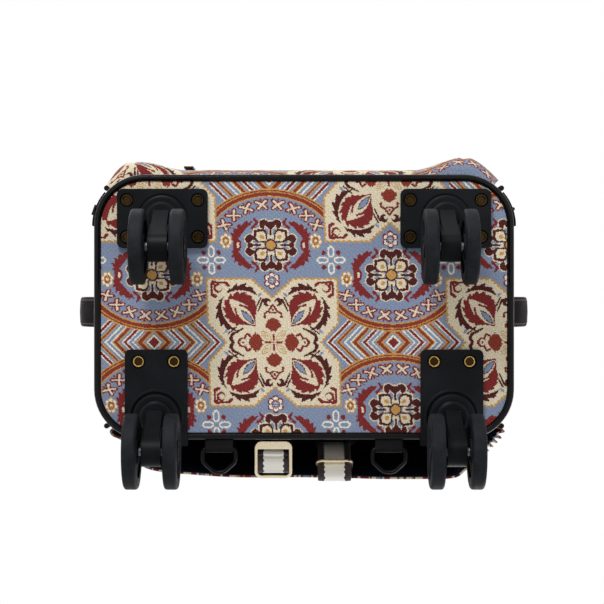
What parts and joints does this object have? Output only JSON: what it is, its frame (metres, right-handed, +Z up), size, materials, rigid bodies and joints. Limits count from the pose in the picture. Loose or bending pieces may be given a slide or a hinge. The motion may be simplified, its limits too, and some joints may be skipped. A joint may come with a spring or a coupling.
{
  "type": "rolling backpack",
  "caption": "Upright tapestry backpack on swivelling twin-wheel casters, with a telescopic trolley handle, carry handles, a front pocket and shoulder straps stowed behind a cover.",
  "frame": {"origin": "centre of the bounding box's footprint, on the floor that the wheels stand on", "axes": "+Z up, -Y the front with the pocket, +Y the back with the shoulder straps, +X to the right as seen from the front"},
  "size_m": [0.3806, 0.25, 0.529],
  "materials": {
    "tapestry": "jacquard weave",
    "piping": "glossy",
    "tray": "matte",
    "brass": "polished",
    "steel": "satin",
    "zip_tape": "woven",
    "pad": "woven",
    "leatherette": "grained",
    "webbing": "striped webbing",
    "tab_webbing": "woven",
    "ring_plastic": "satin",
    "handle_plastic": "satin",
    "tube": "satin",
    "caster_plastic": "satin",
    "wheel": "matte"
  },
  "bodies": {
    "bag": {"base_panel": "tapestry", "base_piping": "piping", "base_tray": "tray", "caster_rivets": "brass", "kingpins": "steel", "body_shell": "tapestry", "body_piping": "piping", "back_pad": "pad", "main_zip_tape": "zip_tape", "front_pocket": "tapestry", "pocket_zip_tape": "zip_tape", "side_handle_left": "leatherette", "side_handle_right": "leatherette", "top_handle": "leatherette", "handle_bezel": "handle_plastic", "outer_tubes": "tube", "back_cover": "tapestry", "shoulder_strap_left": "pad", "shoulder_strap_right": "pad", "strap_webbing_left": "webbing", "strap_webbing_right": "webbing", "strap_buckle_left": "brass", "strap_buckle_right": "brass", "d_ring_tabs": "tab_webbing", "front_left_plate": "caster_plastic", "front_right_plate": "caster_plastic", "rear_left_plate": "caster_plastic", "rear_right_plate": "caster_plastic"},
    "middle_stage": {"middle_tubes": "tube"},
    "upper_stage": {"inner_tubes": "tube", "latch_blocks": "handle_plastic", "grip": "handle_plastic", "button_spring": "steel"},
    "button": {"release_button": "handle_plastic", "push_rods": "steel"},
    "main_slider": {"main_zip_slider": "brass"},
    "main_pull": {"main_zip_pull": "brass"},
    "pocket_slider": {"pocket_zip_slider": "brass"},
    "pocket_pull": {"pocket_zip_pull": "brass"},
    "ring_left": {"d_ring_left": "ring_plastic"},
    "ring_right": {"d_ring_right": "ring_plastic"},
    "front_left_swivel": {"front_left_fork": "caster_plastic", "front_left_axle": "steel"},
    "front_left_wheel_left": {"front_left_wheel_left": "wheel"},
    "front_left_wheel_right": {"front_left_wheel_right": "wheel"},
    "front_right_swivel": {"front_right_fork": "caster_plastic", "front_right_axle": "steel"},
    "front_right_wheel_left": {"front_right_wheel_left": "wheel"},
    "front_right_wheel_right": {"front_right_wheel_right": "wheel"},
    "rear_left_swivel": {"rear_left_fork": "caster_plastic", "rear_left_axle": "steel"},
    "rear_left_wheel_left": {"rear_left_wheel_left": "wheel"},
    "rear_left_wheel_right": {"rear_left_wheel_right": "wheel"},
    "rear_right_swivel": {"rear_right_fork": "caster_plastic", "rear_right_axle": "steel"},
    "rear_right_wheel_left": {"rear_right_wheel_left": "wheel"},
    "rear_right_wheel_right": {"rear_right_wheel_right": "wheel"}
  },
  "joints": [
    {"name": "handle_lower_stage", "type": "slide", "parent": "bag", "child": "middle_stage", "axis": [0, 0, 1], "range_m": [0, 0.26]},
    {"name": "handle_upper_stage", "type": "slide", "parent": "middle_stage", "child": "upper_stage", "axis": [0, 0, 1], "range_m": [0, 0.26]},
    {"name": "button_press", "type": "slide", "parent": "upper_stage", "child": "button", "axis": [0, 0, -1], "range_m": [0, 0.004], "stiffness_N_per_m": 600, "springref_m": -0.004, "deforming": ["button_spring"]},
    {"name": "main_zip_slide", "type": "slide", "parent": "bag", "child": "main_slider", "axis": [0, 0, 1], "range_m": [0, 0.25]},
    {"name": "main_pull_swing", "type": "hinge", "parent": "main_slider", "child": "main_pull", "pos_m": [-0.15845, -0.07795, 0.127], "axis": [-0.3243, 0.9459, 0], "range_deg": [0, 150]},
    {"name": "pocket_zip_slide", "type": "slide", "parent": "bag", "child": "pocket_slider", "axis": [1, 0, 0], "range_m": [0, 0.196]},
    {"name": "pocket_pull_swing", "type": "hinge", "parent": "pocket_slider", "child": "pocket_pull", "pos_m": [-0.098, -0.12325, 0.286], "axis": [-1, 0, 0], "range_deg": [0, 150]},
    {"name": "ring_left_swing", "type": "hinge", "parent": "bag", "child": "ring_left", "pos_m": [-0.0625, 0.09975, 0.067], "axis": [1, 0, 0], "range_deg": [-90, 75]},
    {"name": "ring_right_swing", "type": "hinge", "parent": "bag", "child": "ring_right", "pos_m": [0.0625, 0.09975, 0.067], "axis": [1, 0, 0], "range_deg": [-90, 75]},
    {"name": "front_left_swivel_turn", "type": "hinge", "parent": "bag", "child": "front_left_swivel", "pos_m": [-0.104, -0.06975, 0.05], "axis": [0, 0, 1], "continuous": true},
    {"name": "front_left_left_spin", "type": "hinge", "parent": "front_left_swivel", "child": "front_left_wheel_left", "pos_m": [-0.104, -0.04775, 0.027], "axis": [1, 0, 0], "continuous": true},
    {"name": "front_left_right_spin", "type": "hinge", "parent": "front_left_swivel", "child": "front_left_wheel_right", "pos_m": [-0.104, -0.04775, 0.027], "axis": [1, 0, 0], "continuous": true},
    {"name": "front_right_swivel_turn", "type": "hinge", "parent": "bag", "child": "front_right_swivel", "pos_m": [0.104, -0.06975, 0.05], "axis": [0, 0, 1], "continuous": true},
    {"name": "front_right_left_spin", "type": "hinge", "parent": "front_right_swivel", "child": "front_right_wheel_left", "pos_m": [0.104, -0.04775, 0.027], "axis": [1, 0, 0], "continuous": true},
    {"name": "front_right_right_spin", "type": "hinge", "parent": "front_right_swivel", "child": "front_right_wheel_right", "pos_m": [0.104, -0.04775, 0.027], "axis": [1, 0, 0], "continuous": true},
    {"name": "rear_left_swivel_turn", "type": "hinge", "parent": "bag", "child": "rear_left_swivel", "pos_m": [-0.1085, 0.07595, 0.05], "axis": [0, 0, 1], "continuous": true},
    {"name": "rear_left_left_spin", "type": "hinge", "parent": "rear_left_swivel", "child": "rear_left_wheel_left", "pos_m": [-0.1085, 0.09795, 0.027], "axis": [1, 0, 0], "continuous": true},
    {"name": "rear_left_right_spin", "type": "hinge", "parent": "rear_left_swivel", "child": "rear_left_wheel_right", "pos_m": [-0.1085, 0.09795, 0.027], "axis": [1, 0, 0], "continuous": true},
    {"name": "rear_right_swivel_turn", "type": "hinge", "parent": "bag", "child": "rear_right_swivel", "pos_m": [0.1085, 0.07595, 0.05], "axis": [0, 0, 1], "continuous": true},
    {"name": "rear_right_left_spin", "type": "hinge", "parent": "rear_right_swivel", "child": "rear_right_wheel_left", "pos_m": [0.1085, 0.09795, 0.027], "axis": [1, 0, 0], "continuous": true},
    {"name": "rear_right_right_spin", "type": "hinge", "parent": "rear_right_swivel", "child": "rear_right_wheel_right", "pos_m": [0.1085, 0.09795, 0.027], "axis": [1, 0, 0], "continuous": true}
  ]
}
